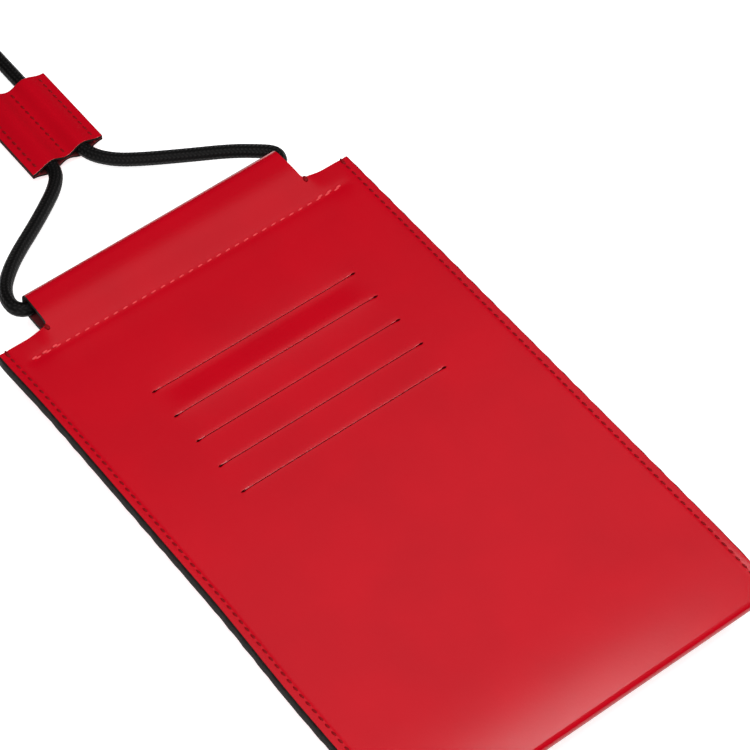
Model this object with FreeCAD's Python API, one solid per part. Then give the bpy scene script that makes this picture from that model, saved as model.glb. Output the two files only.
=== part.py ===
import FreeCAD, Part
import math
import os

# A leather phone pouch on a neck cord, lying on its back, in millimetres.
# X is its width, +Y points to the mouth and the cord, +Z is up, out of its front.
# The origin is under the middle of the pouch, on the surface that it lies on.

# Leather body
BODY_WIDTH = 105.0
BODY_LENGTH = 164.1
LEATHER_WALL = 1.5
SEAM_MARGIN = 4.5
SIDE_SLOPE = 8.8
SLOPE_STEPS = 4
FOLD_FRONT = 10.0
FOLD_RADIUS = 1.68
FOLD_BACK = 4.0
BOTTOM_SLOPE = 10.0

# Lining and the room for a phone
LINING_WALL = 0.5
PHONE_ROOM = 8.0
PLY_GAP = 0.05
SEAM_GAP = 0.15
LINING_END = 9.0
SLOPE_GAP = 0.5

# Card slits and the pocket sheets behind them
SLIT_COUNT = 5
SLIT_LENGTH = 61.4
SLIT_WIDTH = 0.6
SLIT_DROP_LENGTH = 1.8
SLIT_DROP_WIDTH = 1.2
SLIT_PITCH = 9.15
FIRST_SLIT_DEPTH = 31.8
SLIT_X = 0.8
POCKET_WALL = 0.1
POCKET_MARGIN = 2.5
POCKET_DEPTH = 72.0
POCKET_TURN_IN = 4.0

# Tab, folded back over the cord
TAB_WIDTH = 77.4
TAB_HEIGHT = 13.4
TAB_TAPER = 0.4
TAB_WALL = 1.3
FLAP_DEPTH = 12.0
FLAP_EDGE_GAP = 0.3
FLAP_BEND_DEPTH = 5.5
FLAP_BEND = 8.0

# Cord
CORD_DIAMETER = 3.6
CORD_SIDES = 8
TUNNEL_CLEARANCE = 0.2
TUNNEL_CORD_HALF = 34.0
SPLICE_LENGTH = 16.0
SPLICE_WALL = 0.12
SPLICE_FIT = 0.02

# Sewing thread
THREAD_WIDTH = 0.5
THREAD_HEIGHT = 0.3
THREAD_DIP = 0.08
THREAD_RISE = 0.35
STITCH_PITCH = 2.6
SEAM_INSET = 2.4
SEAM_END = 2.0
TUNNEL_ROW_DEPTH = 6.7
TUNNEL_ROW_LENGTH = 92.0
TACK_LENGTH = 1.6
TACK_OFFSET = 0.4

# Slider on the two strands
SLIDER_WIDTH = 21.0
SLIDER_LENGTH = 29.0
SLIDER_WALL = 1.2
SLIDER_X = -0.45
SLIDER_START = 49.1
SLIDER_FLOOR_GAP = 0.05
SLIDER_PLY_GAP = 0.04
STRAND_SPACING = 9.4
CHANNEL_CLEARANCE = 0.45
BUMP_FILLET = 1.2
SLIDER_SEAM_INSET = 1.1
SLIDER_SEAM_END = 1.2

# Coil of the spare cord
COIL_OUTER_RADIUS = 27.9
COIL_PITCH = 4.1
COIL_LAYER_STEP = 4.1
COIL_TURNS_IN = 3.5
CLIMB_TURNS = 0.5
COIL_TURNS_OUT = 3.7
COIL_Y = 153.0
COIL_LEAD = 15.9
ARC_SHARE = 0.45
GAP_STEP = 1.0
NEAR_LENGTH = 40.0
TIE_WALL = 0.5
TIE_WIDTH = 6.0
TIE_SIDE_GAP = 0.9
TIE_FLOOR_GAP = 0.05
TIE_CORNER = 1.5

# Levels and places that follow from the sizes above
half_width = BODY_WIDTH / 2
seam_line = half_width - SEAM_MARGIN
flat_half = seam_line - SIDE_SLOPE
tab_half = TAB_WIDTH / 2
mouth_y = (BODY_LENGTH - TAB_HEIGHT) / 2
bottom_y = mouth_y - BODY_LENGTH
pocket_room = SLIT_COUNT * (POCKET_WALL + PLY_GAP) + PLY_GAP
lining_back_z = LEATHER_WALL + PLY_GAP
lining_front_z = lining_back_z + 2 * LINING_WALL + PHONE_ROOM
front_under_z = lining_front_z + pocket_room
front_z = front_under_z + LEATHER_WALL
lining_stack = 2 * LINING_WALL + SEAM_GAP
seam_stack = 2 * (LEATHER_WALL + PLY_GAP) + lining_stack
seam_back_z = front_z - seam_stack
back_start_y = bottom_y + FOLD_BACK
slope_end_y = back_start_y + BOTTOM_SLOPE
cord_radius = CORD_DIAMETER / 2
tunnel_radius = cord_radius + TUNNEL_CLEARANCE
roll_radius = tunnel_radius + TAB_WALL
roll_y = mouth_y + TAB_HEIGHT - roll_radius
roll_z = front_z - roll_radius
bump_radius = cord_radius + CHANNEL_CLEARANCE + SLIDER_WALL
slider_z = bump_radius + SLIDER_FLOOR_GAP
strand_right_x = SLIDER_X + STRAND_SPACING / 2
strand_left_x = SLIDER_X - STRAND_SPACING / 2
coil_low_z = TIE_WALL + TIE_FLOOR_GAP + cord_radius
coil_high_z = coil_low_z + COIL_LAYER_STEP
coil_x = strand_right_x - COIL_OUTER_RADIUS
coil_y = mouth_y + COIL_Y
reverse_turn = COIL_TURNS_IN + CLIMB_TURNS / 2
coil_turns = COIL_TURNS_IN + CLIMB_TURNS + COIL_TURNS_OUT
coil_inner_radius = COIL_OUTER_RADIUS - COIL_PITCH * reverse_turn


def vec(x, y, z):
    return FreeCAD.Vector(x, y, z)


def line(start, end):
    return Part.LineSegment(start, end).toShape()


def arc(start, middle, end):
    return Part.Arc(start, middle, end).toShape()


def save(name, shape):
    shape.exportStep("parts/" + name + ".step")
    print(name, "solids", len(shape.Solids), "valid", shape.isValid(), "volume", round(shape.Volume, 2))


# Body: one sheet goes down the flat front, round the thin bottom fold and up the back, which bulges


def slope_station(step):
    return flat_half + SIDE_SLOPE * step / SLOPE_STEPS


def swell(x):
    """How far the body is filled out at x, straight between stations: 1 over the phone, 0 in the margins."""
    steps = min(max((abs(x) - flat_half) / SIDE_SLOPE, 0.0), 1.0) * SLOPE_STEPS
    first = min(int(steps), SLOPE_STEPS - 1)
    shares = [step / SLOPE_STEPS for step in (first, first + 1)]
    low, high = [1 - share * share * (3 - 2 * share) for share in shares]
    return low + (high - low) * (steps - first)


def back_surface(x):
    return seam_back_z * (1 - swell(x))


def fold_path(inset):
    """Along the flat front, down in a wide arc, round the tight fold and a little way along the back."""
    lean = 2 * math.atan((seam_stack - 2 * FOLD_RADIUS) / (FOLD_FRONT - FOLD_RADIUS))
    wide_radius = FOLD_RADIUS + (FOLD_FRONT - FOLD_RADIUS) / math.sin(lean)
    front_y = bottom_y + FOLD_FRONT

    def at(y, z):
        return vec(-half_width, y, z)

    def on_wide(angle):
        radius = wide_radius - inset
        return at(front_y - radius * math.sin(angle), front_z - wide_radius + radius * math.cos(angle))

    def on_fold(angle):
        radius = FOLD_RADIUS - inset
        return at(bottom_y + FOLD_RADIUS - radius * math.sin(angle),
                  seam_back_z + FOLD_RADIUS + radius * math.cos(angle))

    return [
        line(at(mouth_y, front_z - inset), on_wide(0)),
        arc(on_wide(0), on_wide(lean / 2), on_wide(lean)),
        arc(on_fold(lean), on_fold((lean + math.pi) / 2), on_fold(math.pi)),
        line(on_fold(math.pi), at(back_start_y, seam_back_z + inset)),
    ]


def front_sheet():
    """The front and the bottom fold, which are alike across the whole width."""
    outer = fold_path(0)
    inner = fold_path(LEATHER_WALL)
    ends = [line(outer[0].Vertexes[0].Point, inner[0].Vertexes[0].Point),
            line(outer[-1].Vertexes[-1].Point, inner[-1].Vertexes[-1].Point)]
    wire = Part.Wire(Part.__sortEdges__(outer + inner + ends))
    return Part.Face(wire).extrude(vec(BODY_WIDTH, 0, 0))


def closed_section(x, outline):
    points = [vec(x, y, z) for y, z in outline]
    return Part.makePolygon(points + points[:1])


def back_section(x):
    """The back: from the fold down a slope and on to the mouth."""
    low_z = back_surface(x)
    outer = [(back_start_y, seam_back_z), (slope_end_y, low_z), (mouth_y, low_z)]
    inner = [(y, z + LEATHER_WALL) for y, z in outer[::-1]]
    return closed_section(x, outer + inner)


def lining_section(x):
    """The lining, folded flat at its end."""
    high_z = front_under_z - PLY_GAP - (pocket_room - PLY_GAP) * swell(x)
    low_z = back_surface(x) + LEATHER_WALL + PLY_GAP
    end_y = bottom_y + LINING_END
    back_y = slope_end_y + SLOPE_GAP
    fold_z = high_z - lining_stack
    outer = [(mouth_y, high_z), (end_y, high_z), (end_y, fold_z), (back_y, low_z), (mouth_y, low_z)]
    inner = [(mouth_y, low_z + LINING_WALL), (back_y, low_z + LINING_WALL),
             (end_y + LINING_WALL, fold_z + LINING_WALL), (end_y + LINING_WALL, high_z - LINING_WALL),
             (mouth_y, high_z - LINING_WALL)]
    return closed_section(x, outer + inner)


def across_width(section):
    """A sheet over the phone, its slopes at the sides and its sewn margins, as one solid."""
    middle = Part.Face(section(-flat_half)).extrude(vec(2 * flat_half, 0, 0))
    pieces = []
    for side in (-1, 1):
        sections = [section(side * slope_station(step)) for step in range(SLOPE_STEPS + 1)]
        pieces.append(Part.makeLoft(sections, True, True))
        pieces.append(Part.Face(section(side * seam_line)).extrude(vec(side * SEAM_MARGIN, 0, 0)))
    return middle.fuse(pieces).removeSplitter()


def box_between(low, high):
    return Part.makeBox(high.x - low.x, high.y - low.y, high.z - low.z, low)


def slit_y(number):
    return mouth_y - FIRST_SLIT_DEPTH - SLIT_PITCH * number


def slit_cutter(number):
    """A narrow cut that widens into a small drop at each end."""
    y = slit_y(number)
    half = SLIT_LENGTH / 2
    narrow = SLIT_WIDTH / 2
    wide = SLIT_DROP_WIDTH / 2
    rim = [(half - SLIT_DROP_LENGTH, -narrow), (half - wide, -wide), (half, -narrow)]
    outline = rim + [(along, -across) for along, across in rim[::-1]]
    outline += [(-along, -across) for along, across in outline]
    points = [vec(SLIT_X + along, y + across, front_under_z - PLY_GAP) for along, across in outline]
    return Part.Face(Part.makePolygon(points + points[:1])).extrude(vec(0, 0, LEATHER_WALL + 2 * PLY_GAP))


def tab_section():
    """The tab across its width: straight on from the front, round the cord and up again behind the front."""
    start_y = mouth_y - FLAP_DEPTH
    bend_y = mouth_y - FLAP_BEND_DEPTH
    inner_z = front_under_z - PLY_GAP
    outer_z = inner_z - TAB_WALL
    across = roll_y - bend_y
    rise = outer_z - roll_z
    slope = math.asin(roll_radius / math.hypot(across, rise)) + math.atan2(rise, across)
    bend = FLAP_BEND * math.tan(slope / 2)

    def at(y, z):
        return vec(-tab_half, y, z)

    def on_roll(radius, angle):
        return at(roll_y + radius * math.sin(angle), roll_z + radius * math.cos(angle))

    turn = math.pi + slope
    outer_top = on_roll(roll_radius, 0)
    outer_low = on_roll(roll_radius, turn)
    inner_top = on_roll(tunnel_radius, 0)
    inner_low = on_roll(tunnel_radius, turn)
    bend_low = at(bend_y + bend * math.cos(slope), outer_z - bend * math.sin(slope))
    bend_middle = at(bend_y - bend + FLAP_BEND * math.sin(slope / 2),
                     outer_z - FLAP_BEND * (1 - math.cos(slope / 2)))
    bend_high = at(bend_y - bend, outer_z)
    corner = at(inner_low.y - (inner_z - inner_low.z) / math.tan(slope), inner_z)
    skive = at(mouth_y, front_under_z)
    edges = [
        line(at(start_y, front_z), outer_top),
        arc(outer_top, on_roll(roll_radius, turn / 2), outer_low),
        line(outer_low, bend_low),
        arc(bend_low, bend_middle, bend_high),
        line(bend_high, at(start_y, outer_z)),
        line(at(start_y, outer_z), at(start_y, inner_z)),
        line(at(start_y, inner_z), corner),
        line(corner, inner_low),
        arc(inner_low, on_roll(tunnel_radius, turn / 2), inner_top),
        line(inner_top, skive),
        line(skive, at(start_y, front_under_z)),
        line(at(start_y, front_under_z), at(start_y, front_z)),
    ]
    return Part.Wire(edges)


def tab_outline():
    """The tab seen from its front: straight sides up to the mouth, and then drawn in a little."""
    top_half = tab_half - TAB_TAPER
    top_y = mouth_y + TAB_HEIGHT
    right = [(tab_half, mouth_y - FLAP_DEPTH), (tab_half, mouth_y), (top_half, top_y)]
    outline = right + [(-x, y) for x, y in right[::-1]]
    points = [vec(x, y, 0) for x, y in outline]
    return Part.Face(Part.makePolygon(points + points[:1])).extrude(vec(0, 0, front_z))


def leather_wrap():
    body = front_sheet().fuse(across_width(back_section))
    middle_z = lining_back_z + LINING_WALL + PHONE_ROOM / 2
    low = vec(-tab_half, mouth_y - FLAP_DEPTH, middle_z)
    room = box_between(low, vec(tab_half, mouth_y + TAB_HEIGHT, front_z + LEATHER_WALL))
    tab = Part.Face(tab_section()).extrude(vec(TAB_WIDTH, 0, 0)).common(tab_outline())
    body = body.cut(room).fuse(tab).removeSplitter()
    return body.cut([slit_cutter(number) for number in range(SLIT_COUNT)])


def lining():
    """The lining stops short of the tab's flap, which lies at its level."""
    reach = tab_half + FLAP_EDGE_GAP
    middle_z = lining_back_z + LINING_WALL + PHONE_ROOM / 2
    low = vec(-reach, mouth_y - FLAP_DEPTH - FLAP_EDGE_GAP, middle_z)
    return across_width(lining_section).cut(box_between(low, vec(reach, mouth_y + TAB_HEIGHT, front_z)))


def card_pocket(number):
    """One sheet hung behind a slit: the lowest slit's sheet lies next to the leather."""
    depth = (SLIT_COUNT - number) * (POCKET_WALL + PLY_GAP)
    top_y = slit_y(number) + POCKET_TURN_IN
    width = SLIT_LENGTH + 2 * POCKET_MARGIN
    low = vec(SLIT_X - width / 2, top_y - POCKET_TURN_IN - POCKET_DEPTH, front_under_z - depth)
    return Part.makeBox(width, POCKET_DEPTH + POCKET_TURN_IN, POCKET_WALL, low)


# Thread: each row is one thread that lies on the leather and dips between its stitches


def thread_row(length, place):
    """A row of stitches, where place maps along, across and up from the leather."""
    count = max(int(length / STITCH_PITCH), 1)
    pitch = length / count
    profile = [(length, 0.0), (0.0, 0.0), (0.0, THREAD_DIP)]
    for i in range(count):
        profile.append((i * pitch + THREAD_RISE, THREAD_HEIGHT))
        profile.append(((i + 1) * pitch - THREAD_RISE, THREAD_HEIGHT))
        profile.append(((i + 1) * pitch, THREAD_DIP))
    points = [place(along, -THREAD_WIDTH / 2, height) for along, height in profile]
    across = place(0, THREAD_WIDTH, 0) - place(0, 0, 0)
    return Part.Face(Part.makePolygon(points + points[:1])).extrude(across)


def row_along_y(x, low_y, high_y, z, up):
    return thread_row(high_y - low_y,
                      lambda along, across, height: vec(x + across, low_y + along, z + up * height))


def side_seam(side):
    x = side * (half_width - SEAM_INSET)
    low_y = bottom_y + FOLD_FRONT + SEAM_END
    rows = [row_along_y(x, low_y, mouth_y - SEAM_END, front_z, 1),
            row_along_y(x, low_y, mouth_y - SEAM_END, seam_back_z, -1)]
    return Part.Compound(rows)


def tunnel_seam():
    start = -TUNNEL_ROW_LENGTH / 2
    y = mouth_y - TUNNEL_ROW_DEPTH
    return thread_row(TUNNEL_ROW_LENGTH,
                      lambda along, across, height: vec(start + along, y + across, front_z + height))


def tab_tack(side):
    """A short bar of thread that stops the leather from tearing at the end of the tab."""
    x = side * (tab_half + TACK_OFFSET)
    return row_along_y(x, mouth_y - TACK_LENGTH - TACK_OFFSET, mouth_y - TACK_OFFSET, front_z, 1)


# Slider: two leathers sewn together along three rows, with a channel for each strand


def slider_face(up):
    """Half of the slider's section: a flange with a raised channel over each strand."""
    reach = math.sqrt((bump_radius + BUMP_FILLET) ** 2 - (SLIDER_WALL + BUMP_FILLET) ** 2)
    touch = bump_radius / (bump_radius + BUMP_FILLET)
    channel = cord_radius + CHANNEL_CLEARANCE
    half = SLIDER_WIDTH / 2
    low = SLIDER_PLY_GAP / 2
    foot = math.sqrt(channel ** 2 - low ** 2)
    fillet_z = SLIDER_WALL + BUMP_FILLET
    lean = math.atan2(reach, fillet_z)
    y = mouth_y + SLIDER_START

    def at(x, z):
        return vec(SLIDER_X + x, y, slider_z + up * z)

    edges = [line(at(-half, low), at(-half, SLIDER_WALL))]
    here = at(-half, SLIDER_WALL)
    for centre in (-STRAND_SPACING / 2, STRAND_SPACING / 2):
        joins = []
        for side in (-1, 1):
            edge = at(centre + side * reach, SLIDER_WALL)
            bend = at(centre + side * (reach - BUMP_FILLET * math.sin(lean / 2)),
                      fillet_z - BUMP_FILLET * math.cos(lean / 2))
            meet = at(centre + side * reach * touch, fillet_z * touch)
            joins.append((edge, bend, meet))
        left, right = joins
        edges.append(line(here, left[0]))
        edges.append(arc(*left))
        edges.append(arc(left[2], at(centre, bump_radius), right[2]))
        edges.append(arc(right[2], right[1], right[0]))
        here = right[0]
    edges.append(line(here, at(half, SLIDER_WALL)))
    edges.append(line(at(half, SLIDER_WALL), at(half, low)))
    here = at(half, low)
    for centre in (STRAND_SPACING / 2, -STRAND_SPACING / 2):
        edges.append(line(here, at(centre + foot, low)))
        edges.append(arc(at(centre + foot, low), at(centre, channel), at(centre - foot, low)))
        here = at(centre - foot, low)
    edges.append(line(here, at(-half, low)))
    return Part.Face(Part.Wire(edges))


def slider_layer(up):
    return slider_face(up).extrude(vec(0, SLIDER_LENGTH, 0))


def slider_seam(offset):
    low_y = mouth_y + SLIDER_START + SLIDER_SEAM_END
    high_y = mouth_y + SLIDER_START + SLIDER_LENGTH - SLIDER_SEAM_END
    rows = [row_along_y(SLIDER_X + offset, low_y, high_y, slider_z + up * SLIDER_WALL, up) for up in (1, -1)]
    return Part.Compound(rows)


# Cord: straight runs joined by arcs, and a coil of half turns


def rounded_route(points):
    """Edges through the points, each corner an arc as large as its two runs allow."""
    edges = []
    radii = []
    here = points[0]
    for before, corner, after in zip(points, points[1:], points[2:]):
        back = before - corner
        ahead = after - corner
        reach = ARC_SHARE * min(back.Length, ahead.Length)
        half_turn = (math.pi - back.getAngle(ahead)) / 2
        start = corner + back.normalize() * reach
        end = corner + ahead.normalize() * reach
        chord_middle = (start + end) * 0.5
        weight = math.cos(half_turn)
        middle = (chord_middle + corner * weight) * (1 / (1 + weight))
        radii.append(reach / math.tan(half_turn))
        edges += [line(here, start), arc(start, middle, end)]
        here = end
    edges.append(line(here, points[-1]))
    return edges, radii


def biarc(start, start_way, end, end_way):
    """Two arcs that leave start along start_way and reach end along end_way."""
    across = end - start
    ways = start_way + end_way
    bend = 2 * (1 - start_way.dot(end_way))
    lean = across.dot(ways)
    reach = (math.sqrt(lean * lean + bend * across.dot(across)) - lean) / bend
    first = start + start_way * reach
    second = end - end_way * reach
    join = (first + second) * 0.5
    arcs = []
    for low, corner, high in ((start, first, join), (join, second, end)):
        weight = (high - low).Length / 2 / (corner - low).Length
        middle = (low + corner * (2 * weight) + high) * (1 / (2 + 2 * weight))
        arcs.append(arc(low, middle, high))
    return arcs


def coil_spot(turn):
    """A point of the coil: it spirals in until it reverses, then out again one layer higher."""
    radius = coil_inner_radius + COIL_PITCH * abs(turn - reverse_turn)
    share = min(max(turn - COIL_TURNS_IN, 0.0) / CLIMB_TURNS, 1.0)
    angle = 2 * math.pi * turn
    z = coil_low_z + COIL_LAYER_STEP * share
    return vec(coil_x + radius * math.cos(angle), coil_y + radius * math.sin(angle), z)


def coil_way(turn):
    """The cord's direction there: level in the layers and steepest halfway up the climb."""
    angle = 2 * math.pi * turn
    way = vec(-math.sin(angle), math.cos(angle), 0)
    if turn == reverse_turn:
        way.z = COIL_LAYER_STEP / (math.pi * coil_inner_radius * CLIMB_TURNS)
    return way.normalize()


coil_start = coil_spot(0) - coil_way(0) * CORD_DIAMETER
coil_end = coil_spot(coil_turns) + coil_way(coil_turns) * CORD_DIAMETER


def coil_route():
    half_turns = [i / 2 for i in range(math.ceil(2 * coil_turns))]
    marks = sorted(set(half_turns + [reverse_turn, coil_turns]))
    edges = [line(coil_start, coil_spot(0))]
    for low, high in zip(marks, marks[1:]):
        edges += biarc(coil_spot(low), coil_way(low), coil_spot(high), coil_way(high))
    edges.append(line(coil_spot(coil_turns), coil_end))
    return edges


def cord_section(centre, way):
    """The cord's outline across its way, with a flat side up and down."""
    across = way.cross(vec(0, 0, 1)).normalize()
    up = across.cross(way)
    points = []
    for i in range(CORD_SIDES):
        angle = 2 * math.pi * (i + 1 / 2) / CORD_SIDES
        points.append(centre + (across * math.sin(angle) + up * math.cos(angle)) * cord_radius)
    return Part.makePolygon(points + points[:1])


def cord_tube(name, edges):
    section = cord_section(edges[0].Vertexes[0].Point, edges[0].tangentAt(edges[0].FirstParameter))
    shape = Part.Wire(edges).makePipeShell([section], True, False)
    length = sum(edge.Length for edge in edges)
    expected = Part.Face(section).Area * length
    print(name, "length", round(length, 1), "volume share", round(shape.Volume / expected, 4))
    return shape


def self_gap(edges):
    """Least room between turns, measured on points along the route."""
    points = []
    for edge in edges:
        points += edge.discretize(max(int(edge.Length / GAP_STEP), 2))[:-1]
    skip = int(NEAR_LENGTH / GAP_STEP)
    least = math.inf
    for i, point in enumerate(points):
        for other in points[i + skip:]:
            least = min(least, point.distanceToPoint(other))
    return least - CORD_DIAMETER


def right_route():
    """From the tunnel's right end, back round the tab, through the slider and on to the coil."""
    points = [
        vec(TUNNEL_CORD_HALF, roll_y, roll_z),
        vec(tab_half + 0.3, roll_y, roll_z),
        vec(tab_half + 2.6, mouth_y + 12.5, 9.5),
        vec(tab_half + 2.5, mouth_y + 15.9, 9.2),
        vec(32.4, mouth_y + 23.0, 7.9),
        vec(23.1, mouth_y + 29.9, 6.3),
        vec(13.6, mouth_y + 37.0, 4.9),
        vec(8.0, mouth_y + 41.5, 4.0),
        vec(strand_right_x, mouth_y + 46.9, slider_z),
        vec(strand_right_x, mouth_y + 110.0, slider_z),
        vec(strand_right_x, mouth_y + 128.0, coil_low_z),
        coil_start,
    ]
    return points


def left_route():
    """From the tunnel's left end, up through the slider and round to the top of the coil."""
    points = [
        vec(-TUNNEL_CORD_HALF, roll_y, roll_z),
        vec(-tab_half - 0.3, roll_y, roll_z),
        vec(-tab_half - 2.6, mouth_y + 12.5, 9.5),
        vec(-tab_half - 2.5, mouth_y + 15.9, 9.2),
        vec(-33.2, mouth_y + 25.2, 7.7),
        vec(-28.3, mouth_y + 29.4, 6.7),
        vec(-21.8, mouth_y + 33.7, 5.7),
        vec(-14.5, mouth_y + 38.8, 4.6),
        vec(-8.6, mouth_y + 42.8, 3.9),
        vec(strand_left_x, mouth_y + 47.2, slider_z),
        vec(strand_left_x, mouth_y + 107.6, slider_z),
        vec(-8.4, mouth_y + 114.6, 5.0),
        coil_end + coil_way(coil_turns) * COIL_LEAD,
        coil_end,
    ]
    return points


def free_strand(name, points):
    edges, radii = rounded_route(points)
    print(name, "bend radii", [round(radius, 1) for radius in radii])
    return cord_tube(name, edges)


def cord_in_tunnel():
    """The two ends of the cord, which meet in the middle of the tunnel."""
    section = Part.Face(cord_section(vec(0, roll_y, roll_z), vec(1, 0, 0)))
    return Part.Compound([section.extrude(vec(side * TUNNEL_CORD_HALF, 0, 0)) for side in (-1, 1)])


def cord_splice():
    start = vec(-SPLICE_LENGTH / 2, roll_y, roll_z)
    bore = cord_radius + SPLICE_FIT
    sleeve = Part.makeCylinder(bore + SPLICE_WALL, SPLICE_LENGTH, start, vec(1, 0, 0))
    return sleeve.cut(Part.makeCylinder(bore, SPLICE_LENGTH, start, vec(1, 0, 0)))


def coil_tie():
    """A flat band round the bundle of turns, at the coil's far side."""
    quarter = 0.25
    low_y = coil_y + COIL_OUTER_RADIUS - COIL_PITCH * (COIL_TURNS_IN - quarter) - cord_radius - TIE_SIDE_GAP
    high_y = coil_y + COIL_OUTER_RADIUS - COIL_PITCH * quarter + cord_radius + TIE_SIDE_GAP
    low_z = coil_low_z - cord_radius - TIE_FLOOR_GAP
    high_z = coil_high_z + cord_radius + TIE_FLOOR_GAP
    start_x = coil_x - TIE_WIDTH / 2

    def band(grow, corner):
        low = vec(start_x, low_y - grow, low_z - grow)
        shape = box_between(low, vec(start_x + TIE_WIDTH, high_y + grow, high_z + grow))
        along_x = [edge for edge in shape.Edges if edge.BoundBox.XLength > TIE_WIDTH / 2]
        return shape.makeFillet(corner, along_x)

    return band(TIE_WALL, TIE_CORNER).cut(band(0.0, TIE_CORNER - TIE_WALL))


os.makedirs("parts", exist_ok=True)

save("leather_wrap", leather_wrap())
save("lining", lining())
for slit in range(SLIT_COUNT):
    save("card_pocket_" + str(slit + 1), card_pocket(slit))
save("side_seam_left", side_seam(-1))
save("side_seam_right", side_seam(1))
save("tunnel_seam", tunnel_seam())
save("tab_tack_left", tab_tack(-1))
save("tab_tack_right", tab_tack(1))

save("slider_front", slider_layer(1))
save("slider_back", slider_layer(-1))
row_offset = SLIDER_WIDTH / 2 - SLIDER_SEAM_INSET
save("slider_seam_left", slider_seam(-row_offset))
save("slider_seam_middle", slider_seam(0.0))
save("slider_seam_right", slider_seam(row_offset))

save("cord_in_tunnel", cord_in_tunnel())
save("cord_splice", cord_splice())
save("cord_right_strand", free_strand("cord_right_strand", right_route()))
save("cord_left_strand", free_strand("cord_left_strand", left_route()))
coil_edges = coil_route()
print("cord_coil least gap to itself", round(self_gap(coil_edges), 3))
save("cord_coil", cord_tube("cord_coil", coil_edges))
save("coil_tie", coil_tie())
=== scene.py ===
import math

import bmesh
import bpy
from mathutils import Matrix, Vector


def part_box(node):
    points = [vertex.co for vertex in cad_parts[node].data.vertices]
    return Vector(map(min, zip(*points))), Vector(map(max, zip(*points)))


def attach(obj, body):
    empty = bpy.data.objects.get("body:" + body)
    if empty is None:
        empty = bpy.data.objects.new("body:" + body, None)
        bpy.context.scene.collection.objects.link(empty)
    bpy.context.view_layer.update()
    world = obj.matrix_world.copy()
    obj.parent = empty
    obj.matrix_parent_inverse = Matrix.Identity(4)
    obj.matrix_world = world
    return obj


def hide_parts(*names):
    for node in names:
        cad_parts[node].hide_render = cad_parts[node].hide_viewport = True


bl_info = {
    "name": "Phone pouch",
    "version": (1, 0, 0),
    "blender": (4, 5, 0),
    "location": "3D View > Sidebar > Pouch",
    "description": "Builds a leather phone pouch on a neck cord around its packed parts",
    "category": "Add Mesh",
}

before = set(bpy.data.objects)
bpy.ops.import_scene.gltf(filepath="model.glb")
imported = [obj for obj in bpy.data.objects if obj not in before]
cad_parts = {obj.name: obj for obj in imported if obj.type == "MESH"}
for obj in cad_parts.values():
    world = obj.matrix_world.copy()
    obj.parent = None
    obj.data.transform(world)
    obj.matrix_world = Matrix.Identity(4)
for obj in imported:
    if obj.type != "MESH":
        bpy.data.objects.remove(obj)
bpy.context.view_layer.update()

MM = 0.001
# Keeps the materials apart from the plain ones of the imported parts
MATERIAL_PREFIX = "pouch_"
UP = Vector((0, 0, 1))

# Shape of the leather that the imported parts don't give
SEAM_MARGIN = 4.5 * MM
SIDE_SLOPE = 8.8 * MM
DROP_LENGTH = 25 * MM
FOLD_RADIUS = 1.55 * MM
FOLD_BACK = 4 * MM
BOTTOM_SLOPE = 10 * MM
LINING_END = 9 * MM
BOW_RIGHT = 0.3 * MM
BOW_TOP = 0.6 * MM
BOW_TOP_REACH = 14 * MM
BOW_LOW = 0.9 * MM
BOW_LOW_START = -10 * MM
BOW_LOW_REACH = 40 * MM

# Card slits
POCKET_SEAM = 2.5 * MM
POCKET_OVER_SLIT = 4 * MM
SLIT_REACH = 2.2 * MM
SLIT_END_GAPE = 0.36 * MM
SLIT_END_INSET = 0.8 * MM
SLIT_END_WIDTH = 0.6 * MM
LIP_SUNK = 0.14 * MM
LIP_RAISED = 0.05 * MM

# Tab, and the leather that rises towards it
TAB_ROOM = 0.5 * MM
TAB_TAPER = 0.4 * MM
TAB_TILT = 0.010
TAB_THINNING = 4 * MM
RISE_SLOPE = 0.205
RISE_LOW = 12 * MM
RISE_PEAK = 0.5 * MM
RISE_HIGH = 5.5 * MM
RISE_FADE = 6 * MM
STRIP_TILT = 0.42 * MM
STRIP_WIDTH = 4.5 * MM
STRIP_PAST_SLIT = 2 * MM
STRIP_FADE = 10 * MM
FLAP_DEPTH = 12 * MM
FLAP_BEND_DEPTH = 5.5 * MM
NOTCH = 1.1 * MM

# Rows of stitches
SEAM_SHIFT = 0.4 * MM
SEAM_LOW_END = 3 * MM
SEAM_FURROW = 0.6 * MM
SEAM_SLANT = math.radians(9)
ROW_TILT = -0.012
ROW_SHIFT = -0.7 * MM
ROW_FURROW = 1.5 * MM
ROW_DEPTH_SHARE = 1.2
ROW_SLANT = math.radians(6)
ROW_SLIM = 0.66
TACK_BESIDE_TAB = 0.4 * MM

# Slider and cord
STRAND_HALF = 4.7 * MM
SLIDER_SLANT = 0.03
SLIDER_LOW_END = 0.8 * MM
SLIDER_LEFT = 0.3 * MM
SLIDER_RIGHT = 0.75 * MM
SLIDER_FLATTER = 0.95 * MM
SLIDER_ROUNDING = 0.25 * MM
SLIDER_GAP = 0.02 * MM
SLIDER_ROW_SHARE = 0.93
SLIDER_WRAP_INSET = 0.4 * MM
LYING_CORD_Z = 2.35 * MM
COIL_BEGIN = 108 * MM
COIL_STEP = 0.7 * MM
STRAND_STEP = 0.4 * MM

# Lamps that face down: width, the two ends along Y, the middle along X, and the height
LAMPS = {
    "key_lamp": (0.28, -0.08, 0.07, 0.135, 0.6),
    "near_panel": (0.55, 0.07, 0.345, 0.27, 0.6),
    "far_panel": (0.55, 0.345, 0.465, 0.27, 0.6),
    "left_fill": (0.75, -0.6, 0.1, -0.325, 0.8),
    "right_fill": (0.5, -0.6, 0.1, 0.85, 0.8),
}
FAR_PANEL_SHARE = 1 / 6
RIGHT_FILL_SHARE = 0.85
FLOOR_HALF = 3
FLOOR_GLOW = 0.72
SURROUNDINGS_GLOW = 0.03

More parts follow.
